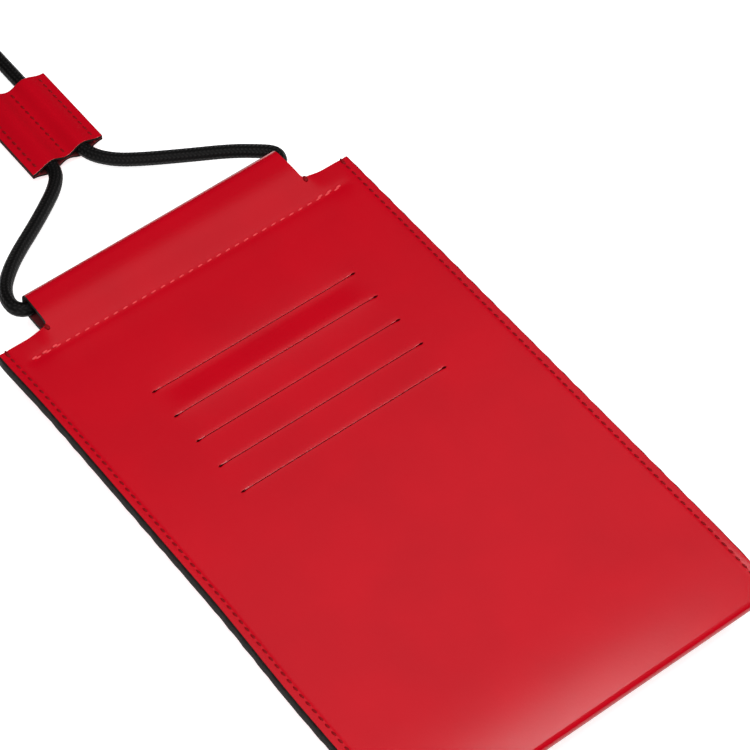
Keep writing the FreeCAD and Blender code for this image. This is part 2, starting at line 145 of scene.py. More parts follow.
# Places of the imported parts
wrap_low, wrap_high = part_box("leather_wrap")
tack_low, tack_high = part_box("tab_tack_right")
seam_low, seam_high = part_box("side_seam_right")
row_low, row_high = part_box("tunnel_seam")
tunnel_low, tunnel_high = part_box("cord_in_tunnel")
slider_low, slider_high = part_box("slider_front")
tie_low, tie_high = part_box("coil_tie")
pocket_low, pocket_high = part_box("card_pocket_1")

half_width = wrap_high.x
flat_half = half_width - SEAM_MARGIN - SIDE_SLOPE
bottom_y = wrap_low.y
mouth_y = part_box("lining")[1].y
front_z = tack_low.z
seam_back_z = seam_low.z + tack_high.z - tack_low.z
seam_x = (seam_low.x + seam_high.x) / 2 + SEAM_SHIFT
row_y = (row_low.y + row_high.y) / 2
roll_y = (tunnel_low.y + tunnel_high.y) / 2
roll_z = (tunnel_low.z + tunnel_high.z) / 2
tab_top = wrap_high.y - TAB_ROOM
tab_half = (tack_low.x + tack_high.x) / 2 - TACK_BESIDE_TAB
tab_rise = RISE_SLOPE * (RISE_LOW + RISE_HIGH) / 2
slider_x = (slider_low.x + slider_high.x) / 2
slider_z = (slider_low.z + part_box("slider_back")[1].z) / 2
slider_half = (slider_high.x - slider_low.x) / 2
slit_x = (pocket_low.x + pocket_high.x) / 2
slit_half = (pocket_high.x - pocket_low.x) / 2 - POCKET_SEAM
slit_rows = [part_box("card_pocket_%d" % number)[1].y - POCKET_OVER_SLIT for number in range(1, 6)]

# The front's way down to the bottom fold
fold_lean = math.atan2(2 * (front_z - seam_back_z - 2 * FOLD_RADIUS), DROP_LENGTH - FOLD_RADIUS)
drop_start = bottom_y + DROP_LENGTH
drop_end = bottom_y + FOLD_RADIUS * (1 - math.sin(fold_lean))
drop_depth = front_z - seam_back_z - FOLD_RADIUS * (1 + math.cos(fold_lean))


class LeatherSettings(bpy.types.PropertyGroup):
    wall: bpy.props.FloatProperty(
        name="Thickness", description="Thickness of the pouch's leather",
        default=1.5 * MM, min=0.5 * MM, unit="LENGTH")
    tab_wall: bpy.props.FloatProperty(
        name="Tab thickness", description="Thickness of the leather where it is thinned for the tab",
        default=1.3 * MM, min=0.5 * MM, unit="LENGTH")
    slider_wall: bpy.props.FloatProperty(
        name="Slider thickness", description="Thickness of each of the slider's leathers",
        default=0.8 * MM, min=0.5 * MM, unit="LENGTH")
    rounding: bpy.props.FloatProperty(
        name="Edge rounding", description="Width of the rounded corner along each cut edge",
        default=0.32 * MM, min=0.05 * MM, unit="LENGTH")
    slit_gap: bpy.props.FloatProperty(
        name="Slit gap", description="How far a card slit stands open in its middle",
        default=0.3 * MM, min=0.05 * MM, unit="LENGTH")
    colour: bpy.props.FloatVectorProperty(
        name="Leather", description="Colour of the leather's face", subtype="COLOR",
        default=(0.55, 0.0005, 0.0095), min=0.0, max=1.0)
    inside: bpy.props.FloatVectorProperty(
        name="Inside", description="Colour of the leather's back", subtype="COLOR",
        default=(0.12, 0.006, 0.008), min=0.0, max=1.0)
    paint: bpy.props.FloatVectorProperty(
        name="Edge paint", description="Colour of the painted edges", subtype="COLOR",
        default=(0.016, 0.0145, 0.013), min=0.0, max=1.0)
    cut: bpy.props.FloatVectorProperty(
        name="Cut edge", description="Colour of the unpainted edges in the slits", subtype="COLOR",
        default=(0.22, 0.0015, 0.004), min=0.0, max=1.0)
    roughness: bpy.props.FloatProperty(
        name="Roughness", description="Roughness of the leather's face", default=0.2, min=0.05, max=1.0)


class ThreadSettings(bpy.types.PropertyGroup):
    pitch: bpy.props.FloatProperty(
        name="Pitch", description="Distance from one stitch of a seam to the next",
        default=2.4 * MM, min=1 * MM, unit="LENGTH")
    row_pitch: bpy.props.FloatProperty(
        name="Tab pitch", description="Distance from one stitch to the next in the row below the tab",
        default=2.8 * MM, min=1 * MM, unit="LENGTH")
    length: bpy.props.FloatProperty(
        name="Stitch", description="Length of thread that shows in one stitch",
        default=1.6 * MM, min=0.5 * MM, unit="LENGTH")
    width: bpy.props.FloatProperty(
        name="Width", description="Width of the thread", default=0.66 * MM, min=0.1 * MM, unit="LENGTH")
    groove: bpy.props.FloatProperty(
        name="Groove", description="How deep the stitches pull the leather in",
        default=0.2 * MM, min=0.0, unit="LENGTH")
    seam_colour: bpy.props.FloatVectorProperty(
        name="Seam thread", description="Colour of the thread in the seams", subtype="COLOR",
        default=(0.25, 0.0008, 0.004), min=0.0, max=1.0)
    row_colour: bpy.props.FloatVectorProperty(
        name="Tab thread", description="Colour of the thread in the row below the tab", subtype="COLOR",
        default=(0.86, 0.075, 0.085), min=0.0, max=1.0)


class CordSettings(bpy.types.PropertyGroup):
    diameter: bpy.props.FloatProperty(
        name="Diameter", description="Diameter of the neck cord", default=3.8 * MM, min=1 * MM, unit="LENGTH")
    length: bpy.props.FloatProperty(
        name="Free length", description="Length of the cord from one end of the tunnel to the other",
        default=1.31, min=0.1, unit="LENGTH")
    columns: bpy.props.IntProperty(
        name="Columns", description="Columns of plaits round the cord", default=12, min=6, max=24)
    plait: bpy.props.FloatProperty(
        name="Plait", description="Length of one plait along the cord",
        default=1.1 * MM, min=0.5 * MM, unit="LENGTH")
    relief: bpy.props.FloatProperty(
        name="Relief", description="Depth of the furrows between the plaits",
        default=0.13 * MM, min=0.0, unit="LENGTH")
    colour: bpy.props.FloatVectorProperty(
        name="Cord", description="Colour of the cord", subtype="COLOR",
        default=(0.0052, 0.0048, 0.0048), min=0.0, max=1.0)


class ClothSettings(bpy.types.PropertyGroup):
    wall: bpy.props.FloatProperty(
        name="Lining", description="Thickness of the lining", default=0.5 * MM, min=0.1 * MM, unit="LENGTH")
    colour: bpy.props.FloatVectorProperty(
        name="Cloth", description="Colour of the lining and the pocket sheets", subtype="COLOR",
        default=(0.028, 0.026, 0.028), min=0.0, max=1.0)


class StageSettings(bpy.types.PropertyGroup):
    lens: bpy.props.FloatProperty(
        name="Lens", description="Focal length of the camera", default=144.0, min=20.0, unit="CAMERA")
    eye: bpy.props.FloatVectorProperty(
        name="Camera", description="Place of the camera", subtype="TRANSLATION", unit="LENGTH",
        default=(-0.24733, -0.33016, 0.59238))
    target: bpy.props.FloatVectorProperty(
        name="Target", description="Point that the camera looks at", subtype="TRANSLATION", unit="LENGTH",
        default=(0.01531, 0.01437, 0.01445))
    floor_colour: bpy.props.FloatVectorProperty(
        name="Floor", description="Colour of the floor", subtype="COLOR",
        default=(0.8, 0.8, 0.8), min=0.0, max=1.0)
    key_power: bpy.props.FloatProperty(
        name="Key", description="Power of the key lamp above the right side, in watts",
        default=0.525, min=0.0)
    panel_power: bpy.props.FloatProperty(
        name="Panel", description="Power of the dim panel behind the key lamp, in watts",
        default=0.175, min=0.0)
    fill_power: bpy.props.FloatProperty(
        name="Fill",
        description="Power of the broad lamp on the left, which the right one follows, in watts",
        default=7.0, min=0.0)


# Numbers and meshes


def clamp(value):
    return min(max(value, 0.0), 1.0)


def ease(share):
    share = clamp(share)
    return share * share * (3 - 2 * share)


def mix(low, high, share):
    return low + (high - low) * share


def hill(distance, width):
    """1 at no distance, falling to almost nothing at twice the width."""
    return math.exp(-(distance / width) ** 2)


def spread(marks, step):
    """Places from the first mark to the last, through every mark, and no further apart than step."""
    places = []
    for low, high in zip(marks, marks[1:]):
        count = max(math.ceil(abs(high - low) / step - 0.001), 1)
        places += [mix(low, high, i / count) for i in range(count)]
    return places + [marks[-1]]


def boxed(value, power):
    """A sine or cosine drawn towards its ends, so that a circle becomes a rounded box."""
    return math.copysign(abs(value) ** power, value)


def mapped_grid(bm, columns, rows, place):
    """A grid of quads with place(column, row) at its corners, as a dictionary of its vertices."""
    last_column = len(columns) - 1
    last_row = len(rows) - 1
    made = bmesh.ops.create_grid(bm, x_segments=last_column, y_segments=last_row, size=0.5)
    verts = {}
    for vert in made["verts"]:
        column = round((vert.co.x + 0.5) * last_column)
        row = round((vert.co.y + 0.5) * last_row)
        vert.co = place(columns[column], rows[row])
        verts[column, row] = vert
    return verts


def close_tube(bm):
    """Welds the two long edges of a grid that was rolled into a tube, and fills its open ends."""
    bmesh.ops.remove_doubles(bm, verts=bm.verts, dist=0.001 * MM)
    ends = [edge for edge in bm.edges if edge.is_boundary]
    if ends:
        bmesh.ops.holes_fill(bm, edges=ends, sides=0)
    bmesh.ops.recalc_face_normals(bm, faces=bm.faces)


def new_piece(name, bm, body, materials):
    mesh = bpy.data.meshes.new(name)
    bm.to_mesh(mesh)
    bm.free()
    for material in materials:
        mesh.materials.append(material)
    mesh.shade_smooth()
    piece = bpy.data.objects.new(name, mesh)
    bpy.context.scene.collection.objects.link(piece)
    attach(piece, body)
    return piece


def thicken(piece, wall, group=None, rounding=0.0):
    """Gives a sheet its thickness behind its face, painted rims and rounded corners."""
    solid = piece.modifiers.new("Thickness", "SOLIDIFY")
    solid.thickness = wall
    solid.offset = -1
    if len(piece.data.materials) > 1:
        solid.material_offset = 2
        solid.material_offset_rim = 1
    if group:
        solid.vertex_group = group
    if rounding:
        bevel = piece.modifiers.new("Rounding", "BEVEL")
        bevel.width = rounding
        bevel.segments = 3
        bevel.limit_method = "ANGLE"
        bevel.angle_limit = math.radians(50)
        piece.modifiers.new("Normals", "WEIGHTED_NORMAL").keep_sharp = True


# Materials


def set_inputs(tree, node, inputs):
    """Links each input to a socket, or sets it to a value."""
    for name, value in inputs.items():
        if isinstance(value, bpy.types.NodeSocket):
            tree.links.new(value, node.inputs[name])
        else:
            node.inputs[name].default_value = value


def add_node(tree, kind, inputs, **options):
    node = tree.nodes.new(kind)
    for name, value in options.items():
        setattr(node, name, value)
    set_inputs(tree, node, inputs)
    return node


def new_material(name):
    material = bpy.data.materials.new(MATERIAL_PREFIX + name)
    material.use_nodes = True
    tree = material.node_tree
    return material, tree, tree.nodes["Principled BSDF"]


def object_place(tree):
    return add_node(tree, "ShaderNodeTexCoord", {}).outputs["Object"]


def own_map(tree):
    return add_node(tree, "ShaderNodeUVMap", {}, uv_map="UVMap").outputs["UV"]


def noise(tree, place, size, detail=2.0, roughness=0.5):
    """Noise with features of that size, in metres, from 0 to 1."""
    inputs = {"Vector": place, "Scale": 1 / size, "Detail": detail, "Roughness": roughness}
    return add_node(tree, "ShaderNodeTexNoise", inputs).outputs["Fac"]


def shades(tree, factor, *stops):
    """A colour ramp: each stop is a position and a colour."""
    node = add_node(tree, "ShaderNodeValToRGB", {"Fac": factor})
    elements = node.color_ramp.elements
    while len(elements) < len(stops):
        elements.new(0.5)
    for element, (position, colour) in zip(elements, stops):
        element.position = position
        element.color = (*colour, 1)
    return node.outputs["Color"]


def spread_value(tree, factor, low, high):
    inputs = {"Value": factor, "From Min": 0.25, "From Max": 0.75, "To Min": low, "To Max": high}
    return add_node(tree, "ShaderNodeMapRange", inputs).outputs["Result"]


def combine(tree, operation, first, second):
    return add_node(tree, "ShaderNodeMath", {0: first, 1: second}, operation=operation).outputs["Value"]


def bump(tree, height, distance, strength=1.0):
    inputs = {"Height": height, "Distance": distance, "Strength": strength}
    return add_node(tree, "ShaderNodeBump", inputs).outputs["Normal"]


def shade_of(colour, factor):
    return tuple(clamp(channel * factor) for channel in colour)


def mottled(tree, factor, colour, dark, light):
    """The colour times dark where the factor is low, and times light where it is high."""
    return shades(tree, factor, (0.3, shade_of(colour, dark)), (0.7, shade_of(colour, light)))


def leather_material(settings):
    material, tree, shader = new_material("red_leather")
    place = object_place(tree)
    broad = noise(tree, place, 18 * MM)
    grain = noise(tree, place, 0.45 * MM, 3.0, 0.6)
    pores = add_node(tree, "ShaderNodeTexVoronoi", {"Vector": place, "Scale": 1 / (0.7 * MM)})
    height = combine(tree, "ADD", grain, combine(tree, "MULTIPLY", pores.outputs["Distance"], 0.6))
    set_inputs(tree, shader, {
        "Base Color": mottled(tree, broad, settings.colour, 0.96, 1.04),
        "Roughness": spread_value(tree, grain, settings.roughness - 0.04, settings.roughness + 0.04),
        "Normal": bump(tree, height, 0.02 * MM, 0.5),
    })
    return material


def paint_material(settings):
    material, tree, shader = new_material("edge_paint")
    uneven = noise(tree, object_place(tree), 1.2 * MM, 3.0)
    set_inputs(tree, shader, {
        "Base Color": mottled(tree, uneven, settings.paint, 0.8, 1.5),
        "Roughness": spread_value(tree, uneven, 0.42, 0.55),
        "Specular IOR Level": 0.01,
        "Normal": bump(tree, uneven, 0.08 * MM, 0.6),
    })
    return material


def inside_material(settings):
    material, tree, shader = new_material("leather_inside")
    fibre = noise(tree, object_place(tree), 0.35 * MM, 4.0, 0.7)
    set_inputs(tree, shader, {
        "Base Color": mottled(tree, fibre, settings.inside, 0.7, 1.3),
        "Roughness": 0.9,
        "Normal": bump(tree, fibre, 0.08 * MM, 0.8),
    })
    return material


def cut_material(settings):
    material, tree, shader = new_material("cut_edge")
    fibre = noise(tree, object_place(tree), 0.3 * MM, 3.0, 0.6)
    set_inputs(tree, shader, {
        "Base Color": mottled(tree, fibre, settings.cut, 0.7, 1.3),
        "Roughness": 0.8,
        "Specular IOR Level": 0.2,
    })
    return material


def thread_material(name, colour):
    """Twisted thread: the map runs round it and along it, and its colour darkens towards its ends as painted
    shade where it goes down into the leather.
    """
    material, tree, shader = new_material(name)
    split = add_node(tree, "ShaderNodeSeparateXYZ", {"Vector": own_map(tree)})
    twist = combine(tree, "ADD", combine(tree, "MULTIPLY", split.outputs["Y"], 5.0), split.outputs["X"])
    ply = combine(tree, "PINGPONG", twist, 0.5)
    end = combine(tree, "PINGPONG", split.outputs["Y"], 0.5)
    # Painted shade: the colour falls to a quarter of itself towards each end of the stitch, where the thread
    # goes into its hole
    painted_shade_at_ends = shades(tree, end, (0.04, shade_of(colour, 0.25)), (0.18, colour))
    set_inputs(tree, shader, {
        "Base Color": painted_shade_at_ends,
        "Roughness": 0.6,
        "Specular IOR Level": 0.15,
        "Normal": bump(tree, ply, 0.06 * MM, 0.7),
    })
    return material


def cord_material(settings):
    """Braid of slanted strands in columns, with painted shade in its furrows and a painted highlight on its
    crowns: the map runs round the cord, and along it in metres.
    """
    material, tree, shader = new_material("black_cord")
    split = add_node(tree, "ShaderNodeSeparateXYZ", {"Vector": own_map(tree)})
    fuzz = noise(tree, object_place(tree), 0.25 * MM, 3.0, 0.7)
    column = combine(tree, "MULTIPLY", split.outputs["X"], settings.columns)
    along = combine(tree, "MULTIPLY", split.outputs["Y"], 1 / settings.plait)
    slant = combine(tree, "ADD", along, combine(tree, "PINGPONG", column, 1.0))
    strand = combine(tree, "PINGPONG", slant, 0.5)
    crown = combine(tree, "SUBTRACT", 0.5, combine(tree, "PINGPONG", column, 0.5))
    plaits = combine(tree, "MULTIPLY", strand, crown)
    height = combine(tree, "ADD", plaits, combine(tree, "MULTIPLY", fuzz, 0.1))
    # Painted shade and highlight: the colour is darker down in the furrows and lighter on the crowns of the
    # plaits
    furrow_painted_shade = shade_of(settings.colour, 0.3)
    ridge_painted_highlight = shade_of(settings.colour, 2.6)
    set_inputs(tree, shader, {
        "Base Color": shades(tree, height, (0.06, furrow_painted_shade), (0.26, ridge_painted_highlight)),
        "Roughness": 0.5,
        "Specular IOR Level": 0.12,
        "Normal": bump(tree, height, 0.5 * MM, 1.0),
    })
    return material


def cloth_material(name, colour, weave):
    """Plain weave with threads of that width."""
    material, tree, shader = new_material(name)
    split = add_node(tree, "ShaderNodeSeparateXYZ", {"Vector": object_place(tree)})
    waves = []
    for axis in ("X", "Y"):
        turns = combine(tree, "MULTIPLY", split.outputs[axis], math.pi / weave)
        waves.append(combine(tree, "SINE", turns, 0.0))
    height = combine(tree, "MULTIPLY", waves[0], waves[1])
    uneven = noise(tree, object_place(tree), 6 * MM)
    set_inputs(tree, shader, {
        "Base Color": mottled(tree, uneven, colour, 0.85, 1.2),
        "Roughness": 0.85,
        "Sheen Weight": 0.15,
        "Normal": bump(tree, height, 0.05 * MM, 0.6),
    })
    return material


def sleeve_material():
    material, tree, shader = new_material("splice_sleeve")
    uneven = noise(tree, object_place(tree), 1.5 * MM)
    set_inputs(tree, shader, {
        "Base Color": shades(tree, uneven, (0.3, (0.008, 0.008, 0.008)), (0.7, (0.014, 0.014, 0.014))),
        "Roughness": spread_value(tree, uneven, 0.45, 0.6),
        "Normal": bump(tree, uneven, 0.05 * MM, 0.5),
    })
    return material


def shared_material(name, make, *values):
    """The material of that name, made at its first use."""
    return bpy.data.materials.get(MATERIAL_PREFIX + name) or make(*values)


# First of the slots of leather whose cut edges are not painted
PLAIN_EDGE_SLOT = 3


def leather_set(settings):
    """Face, painted edge and inside, and then face, plain cut edge and inside, in the order of the slots."""
    face = shared_material("red_leather", leather_material, settings)
    paint = shared_material("edge_paint", paint_material, settings)
    inside = shared_material("leather_inside", inside_material, settings)
    return [face, paint, inside, face, shared_material("cut_edge", cut_material, settings), inside]


# Surface of the pouch


def swell(x):
    """How far the body is filled out at x: 1 over the phone, 0 in the sewn margins."""
    return 1 - ease((abs(x) - flat_half) / SIDE_SLOPE)


def back_level(x):
    return mix(seam_back_z, 0.0, swell(x))


def side_bow(x, y):
    """How far the sewn edges bow along X: a little on the right, and towards both ends on the left."""
    share = ease((abs(x) - flat_half) / (half_width - flat_half))
    if x > 0:
        return BOW_RIGHT * share
    low = BOW_LOW * ease((BOW_LOW_START - y) / BOW_LOW_REACH)
    return -share * (low + BOW_TOP * hill(mouth_y - y, BOW_TOP_REACH))


def row_line(x):
    """Place along Y of the stitched row below the tab, which runs a little askew."""
    return row_y + ROW_TILT * x


def seam_furrow(x, groove):
    return groove * hill(abs(x) - seam_x, SEAM_FURROW)


def row_furrow(x, y, groove):
    return groove * ROW_DEPTH_SHARE * hill(y - row_line(x), ROW_FURROW)


def front_drop(y):
    """How far the front has come down on its way to the bottom fold."""
    return drop_depth * clamp((drop_start - y) / (drop_start - drop_end)) ** 2


def rise_to_tab(above):
    """How far the leather has risen towards the cord in the tab at a place above the mouth."""
    if above < RISE_PEAK:
        return RISE_SLOPE / 2 * max(above + RISE_LOW, 0) ** 2 / (RISE_LOW + RISE_PEAK)
    return tab_rise - RISE_SLOPE / 2 * max(RISE_HIGH - above, 0) ** 2 / (RISE_HIGH - RISE_PEAK)


def front_height(x, y, groove):
    """Level of the front, with the furrows along its stitches and the rise towards the tab."""
    z = front_z - front_drop(y) - seam_furrow(x, groove)
    if abs(x) < row_high.x + 1 * MM:
        z -= row_furrow(x, y, groove)
    beside = ease((tab_half + RISE_FADE - abs(x)) / RISE_FADE)
    z += beside * rise_to_tab(y - mouth_y)
    # The strip below the uppermost slit tilts a little
    along = (y - slit_rows[0] + STRIP_WIDTH) / STRIP_WIDTH
    inside = ease((slit_half + STRIP_PAST_SLIT - abs(x - slit_x)) / STRIP_FADE)
    return z - STRIP_TILT * inside * along * math.exp(-along ** 2)


def back_height(x, y):
    """Level of the back, which goes down from the fold and bulges over the phone."""
    share = clamp((y - bottom_y - FOLD_BACK) / BOTTOM_SLOPE)
    return mix(seam_back_z, back_level(x), (share + ease(share)) / 2)


def fold_spot(x, angle):
    """A point on the tight bottom fold, turned by the angle from its top."""
    return Vector((x, bottom_y + FOLD_RADIUS * (1 - math.sin(angle)),
                   seam_back_z + FOLD_RADIUS * (1 + math.cos(angle))))


def tab_profile(settings):
    """The tab's face as places along Y and levels, from the notch over the cord to the end of its flap."""
    radius = wrap_high.y - roll_y
    centre_y = tab_top - radius
    flap_z = front_z - settings.wall - settings.tab_wall - 0.05 * MM
    bend_y = mouth_y - FLAP_BEND_DEPTH
    turn = math.pi + math.asin(radius / (centre_y - bend_y))
    profile = [(y, None) for y in spread([mouth_y + NOTCH, centre_y], 1.0 * MM)[:-1]]
    for i in range(17):
        angle = turn * i / 16
        level = roll_z + tab_rise / 2 + (radius + tab_rise / 2) * math.cos(angle)
        profile.append((centre_y + radius * math.sin(angle), level))
    low_y, low_z = profile[-1]
    for i in range(1, 9):
        profile.append((mix(low_y, bend_y, i / 8), mix(low_z, flap_z, ease(i / 8) ** 1.3)))
    return profile + [(y, flap_z) for y in spread([bend_y, mouth_y - FLAP_DEPTH], 1.5 * MM)[1:]]


def body_columns():
    """Places across the sheet, close together at the slits' ends, the notches and the seams."""
    fillet = [tab_half + NOTCH * (1 - math.cos(math.radians(angle))) for angle in (0, 22.5, 45, 90)]
    seam = [seam_x + offset * MM for offset in (-0.8, -0.4, 0, 0.4, 0.8)]
    sides = []
    for side in (-1, 1):
        slit_end = slit_half + side * slit_x
        marks = [0] + [slit_end - inset * MM for inset in (3.2, 2.2, 1.6, 1.1, 0.7, 0.35, 0, -1.5)]
        marks += [tab_half - 1 * MM] + fillet + [half_width - SEAM_MARGIN] + seam
        marks += [half_width - 0.7 * MM, half_width - 0.2 * MM]
        sides.append([side * x for x in spread(marks, 1.2 * MM)])
    left, right = sides
    return left[:0:-1] + right


def front_rows():
    """Places along the front from the fold to the mouth, close together at the slits and the stitched row."""
    marks = spread([drop_end, drop_start], 1.5 * MM)
    for y in slit_rows[::-1]:
        marks += [y + offset * MM for offset in (-2.2, -1.1, -0.55, 0, 0.55, 1.1, 2.2)]
    marks += [row_y + offset * MM for offset in (-3.0, -1.6, -0.8, 0, 0.8, 1.6, 3.0)]
    return spread(marks + [mouth_y - 1.2 * MM, mouth_y], 2.5 * MM)


def open_slit(bm, verts, row, settings):
    """Cuts the sheet along one row and shapes its two lips, which gape at the ends of the cut."""
    spots = sorted(column for column, r in verts
                   if r == row and abs(verts[column, r].co.x - slit_x) < slit_half + 0.01 * MM)
    y = verts[spots[0], row].co.y
    edges = [bm.edges.get((verts[low, row], verts[high, row])) for low, high in zip(spots, spots[1:])]
    bmesh.ops.split_edges(bm, edges=edges)
    shaped = set()
    for face in bm.faces:
        middle = face.calc_center_median()
        if abs(middle.y - y) > SLIT_REACH or abs(middle.x - slit_x) > slit_half:
            continue
        if middle.z < front_z - 1 * MM:
            continue
        side = 1 if middle.y > y else -1
        if abs(middle.y - y) < 0.5 * MM:
            face.material_index = PLAIN_EDGE_SLOT
        for vert in face.verts:
            if vert in shaped:
                continue
            shaped.add(vert)
            near = 1 - clamp(abs(vert.co.y - y) / SLIT_REACH)
            inset = slit_half - abs(vert.co.x - slit_x)
            end_gape = SLIT_END_GAPE * hill(inset - SLIT_END_INSET, SLIT_END_WIDTH)
            lip = -LIP_SUNK * clamp(2 * near - 1) ** 2 if side > 0 else LIP_RAISED * near ** 2
            vert.co.y += side * max(end_gape, settings.slit_gap / 2) * near * clamp(inset / (0.3 * MM))
            vert.co.z += lip * clamp(inset / (2 * MM))


class POUCH_OT_leather_body(bpy.types.Operator):
    """Makes the leather wrap: back, bottom fold, front with its slits, and the tab folded over the cord"""
    bl_idname = "pouch.leather_body"
    bl_label = "Leather body"

    def execute(self, context):
        settings = context.scene.pouch_leather
        groove = context.scene.pouch_thread.groove
        columns = body_columns()
        slope_end = bottom_y + FOLD_BACK + BOTTOM_SLOPE
        rows = [("back", y) for y in spread([mouth_y, slope_end + 2 * MM], 6 * MM)]
        rows += [("back", y) for y in spread([slope_end, bottom_y + FOLD_RADIUS], 1.2 * MM)[:-1]]
        rows += [("fold", mix(math.pi, fold_lean, i / 12)) for i in range(12)]
        rows += [("front", y) for y in front_rows()]
        mouth_row = len(rows) - 1
        rows += [("tab", place) for place in tab_profile(settings)]

        def place(x, row):
            kind, where = row
            if kind == "back":
                z = back_height(x, where) + seam_furrow(x, groove)
                return Vector((x + side_bow(x, where), where, z))
            if kind == "fold":
                return fold_spot(x + side_bow(x, bottom_y), where)
            if kind == "front":
                return Vector((x + side_bow(x, where), where, front_height(x, where, groove)))
            y, z = where
            share = clamp((y - mouth_y) / (tab_top - mouth_y))
            if z is None:
                z = front_height(min(abs(x), tab_half), y, groove)
            elif y < mouth_y:
                z -= row_furrow(x, y, groove)
            return Vector((x * (1 - TAB_TAPER * share / tab_half), y + TAB_TILT * x * share, z))

        bm = bmesh.new()
        thickness = bm.verts.layers.deform.verify()
        verts = mapped_grid(bm, columns, rows, place)
        thin = settings.tab_wall / settings.wall
        for (column, row), vert in verts.items():
            kind, where = rows[row]
            share = 0
            if kind == "tab":
                share = ease((where[0] - mouth_y) / TAB_THINNING) if where[1] is None else 1
            vert[thickness][0] = mix(1, thin, share)
        # Faces beside the tab go, and what is left at its foot is rounded to a notch
        order = {vert: spot for spot, vert in verts.items()}
        beside = []
        for face in bm.faces:
            spots = [order[vert] for vert in face.verts]
            low_row = min(row for _, row in spots)
            kept = tab_half + NOTCH if low_row == mouth_row else tab_half
            if low_row >= mouth_row and max(abs(columns[column]) for column, _ in spots) > kept + 0.01 * MM:
                beside.append(face)
        corners = {}
        for column, x in enumerate(columns):
            reach = 1 - (abs(x) - tab_half) / NOTCH
            if -0.01 < reach < 0.99:
                vert = verts[column, mouth_row + 1]
                y = mouth_y + NOTCH * (1 - math.sqrt(1 - clamp(reach) ** 2))
                vert.co = Vector((x, y, front_height(x, y, groove)))
                if reach < 0.01:
                    corners[vert] = verts[column, mouth_row]
        front = [row for row, (kind, _) in enumerate(rows) if kind == "front"]
        for y in slit_rows:
            open_slit(bm, verts, min(front, key=lambda row: abs(rows[row][1] - y)), settings)
        bmesh.ops.delete(bm, geom=beside, context="FACES")
        bmesh.ops.weld_verts(bm, targetmap=corners)
        piece = new_piece("leather_body", bm, "pouch", leather_set(settings))
        piece.vertex_groups.new(name="thickness")
        thicken(piece, settings.wall, "thickness", settings.rounding)
        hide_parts("leather_wrap")
        return {"FINISHED"}


class POUCH_OT_painted_edges(bpy.types.Operator):
    """Makes the film of paint over the sewn edges of both sides"""
    bl_idname = "pouch.painted_edges"
    bl_label = "Painted edges"

    def execute(self, context):
        settings = context.scene.pouch_leather
        bm = bmesh.new()
        film = 0.3 * MM
        inset = 0.2 * MM
        sides = 16
        rows = spread([bottom_y + 0.3 * MM, bottom_y + FOLD_RADIUS], 0.4 * MM)
        rows += spread([bottom_y + FOLD_RADIUS, mouth_y - 0.1 * MM], 2 * MM)[1:]
        for side in (-1, 1):
            def place(turn, y):
                angle = 2 * math.pi * turn / sides
                wave = 0.05 * MM * math.sin(y * 900) + 0.04 * MM * math.sin(y * 2100 + side)
                across = boxed(math.cos(angle), 0.7) * film
                level = boxed(math.sin(angle), 0.4)
                before_fold = clamp((bottom_y + FOLD_RADIUS - y) / FOLD_RADIUS)
                narrowed = FOLD_RADIUS * (1 - math.sqrt(1 - before_fold ** 2)) + inset
                low = seam_back_z + narrowed
                high = front_z - front_drop(max(y, drop_end)) - narrowed
                x = side * (half_width - 0.1 * MM + wave + across) + side_bow(side * half_width, y)
                return Vector((x, y, mix(low, high, 0.5 + 0.5 * level)))

            mapped_grid(bm, list(range(sides + 1)), rows, place)
        close_tube(bm)
        piece = new_piece("painted_edges", bm, "pouch", leather_set(settings)[1:2])
        return {"FINISHED"}


